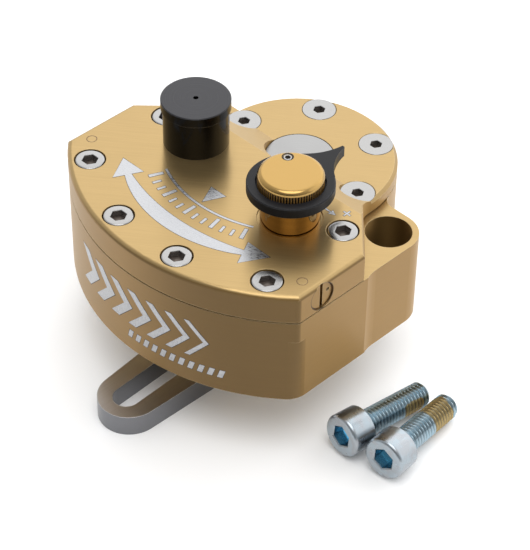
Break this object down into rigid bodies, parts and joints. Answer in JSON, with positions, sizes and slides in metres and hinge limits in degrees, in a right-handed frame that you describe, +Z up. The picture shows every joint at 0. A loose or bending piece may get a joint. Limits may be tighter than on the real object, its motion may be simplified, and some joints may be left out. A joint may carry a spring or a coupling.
{
  "type": "motorcycle steering damper",
  "caption": "Rotary steering damper: a vane shaft swings in a fan-shaped oil housing, with a slotted link arm below, a damping knob, an oil reservoir and side sweep adjusters on the cover.",
  "frame": {"origin": "midway between the two mounting holes, on the body's mounting face", "axes": "+X to the right along the line of the mounting holes, -Y towards the curved front that the link arm reaches past, +Z up along the shaft towards the knob"},
  "size_m": [0.1258, 0.11, 0.0764],
  "materials": {
    "gold_anodised": "finely brushed, gold anodised",
    "polished_gold": "turned and polished, gold anodised",
    "black_anodised": "turned, black anodised",
    "black_plastic": "matte",
    "bright_steel": "bright",
    "grey_steel": "plain ground",
    "zinc_steel": "bluish zinc plated",
    "bush_bronze": "machined",
    "seal_rubber": "smooth"
  },
  "bodies": {
    "damper": {"main_body": "gold_anodised", "top_cover": "gold_anodised", "chamber_seal": "seal_rubber", "lid_cap_screws": "bright_steel", "lid_flat_screws": "bright_steel", "oil_plugs": "gold_anodised", "upper_bush": "bush_bronze", "lower_bush": "bush_bronze", "lower_shaft_seal": "seal_rubber", "seal_clip": "grey_steel", "valve_housing": "polished_gold", "housing_seal": "seal_rubber", "reservoir_cap": "black_anodised", "cap_seal": "seal_rubber", "reservoir_spring": "grey_steel"},
    "swing": {"vane_shaft": "bright_steel", "vane": "grey_steel", "vane_tip_seal": "seal_rubber", "upper_shaft_seal": "seal_rubber", "link_arm": "grey_steel", "pinch_screw": "bright_steel"},
    "knob": {"adjuster_knob": "polished_gold", "pointer_ring": "black_plastic", "knob_set_screw": "bright_steel", "detent_spring": "grey_steel"},
    "needle": {"valve_needle": "bright_steel", "needle_seal": "seal_rubber"},
    "detent": {"detent_ball": "bright_steel"},
    "piston": {"reservoir_piston": "bright_steel", "piston_seal": "seal_rubber"},
    "sweep_right": {"sweep_screw_right": "gold_anodised", "sweep_seal_right": "seal_rubber"},
    "sweep_left": {"sweep_screw_left": "gold_anodised", "sweep_seal_left": "seal_rubber"},
    "bolt_front": {"mounting_bolt_front": "zinc_steel"},
    "bolt_rear": {"mounting_bolt_rear": "zinc_steel"}
  },
  "joints": [
    {"name": "arm_swing", "type": "hinge", "parent": "damper", "child": "swing", "pos_m": [0, 0.0024, 0], "axis": [0, 0, 1], "range_deg": [-40, 36]},
    {"name": "knob_turn", "type": "hinge", "parent": "damper", "child": "knob", "pos_m": [0.0219, -0.0238, 0.05], "axis": [0, 0, 1], "range_deg": [-360, 360]},
    {"name": "needle_feed", "type": "slide", "parent": "knob", "child": "needle", "axis": [0, 0, 1], "range_m": [-0.0005, 0.0005]},
    {"name": "detent_click", "type": "slide", "parent": "knob", "child": "detent", "axis": [0, 0, 1], "range_m": [0, 0.0004], "stiffness_N_per_m": 200, "deforming": ["detent_spring"]},
    {"name": "piston_travel", "type": "slide", "parent": "damper", "child": "piston", "axis": [0, 0, 1], "range_m": [0, 0.004], "stiffness_N_per_m": 400, "deforming": ["reservoir_spring"]},
    {"name": "sweep_right_turn", "type": "hinge", "parent": "damper", "child": "sweep_right", "pos_m": [0.0473, -0.0372, 0.03385], "axis": [1, 0, 0], "range_deg": [-90, 90]},
    {"name": "sweep_left_turn", "type": "hinge", "parent": "damper", "child": "sweep_left", "pos_m": [-0.0473, -0.0372, 0.03385], "axis": [-1, 0, 0], "range_deg": [-90, 90]},
    {"name": "bolt_front_lift", "type": "slide", "parent": "damper", "child": "bolt_front", "axis": [0, 0, 1], "range_m": [0, 0.03]},
    {"name": "bolt_rear_lift", "type": "slide", "parent": "damper", "child": "bolt_rear", "axis": [0, 0, 1], "range_m": [0, 0.03]}
  ],
  "couplings": [
    {"joint": "knob_turn", "follows": "needle_feed", "rad_per_m": 12566}
  ]
}
